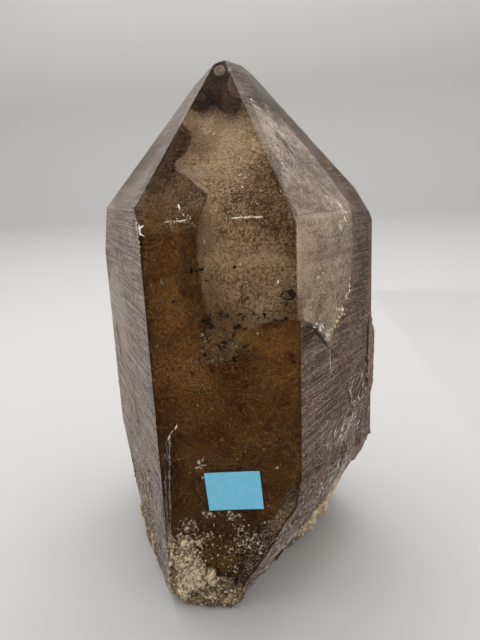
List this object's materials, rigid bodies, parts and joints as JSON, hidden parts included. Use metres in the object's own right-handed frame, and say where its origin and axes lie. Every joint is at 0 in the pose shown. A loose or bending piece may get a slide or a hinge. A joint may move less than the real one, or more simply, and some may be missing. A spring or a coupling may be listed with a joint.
{
  "type": "smoky quartz crystal",
  "caption": "Large single smoky quartz crystal with a six-sided prism, a pointed termination and a cut foot to stand on, with a blank paper label.",
  "frame": {"origin": "point on the resting face at the foot of the crystal's long axis, right under the tip", "axes": "+Z along the crystal's long axis towards the tip; the broad front prism face, with the label, looks towards -Y"},
  "size_m": [0.1515, 0.1258, 0.2383],
  "materials": {
    "smoky_quartz": "clear to milky brown, striated prism faces, matt broken foot",
    "label_paper": "matte"
  },
  "bodies": {
    "root": {"quartz_crystal": "smoky_quartz", "paper_label": "label_paper"}
  },
  "joints": []
}
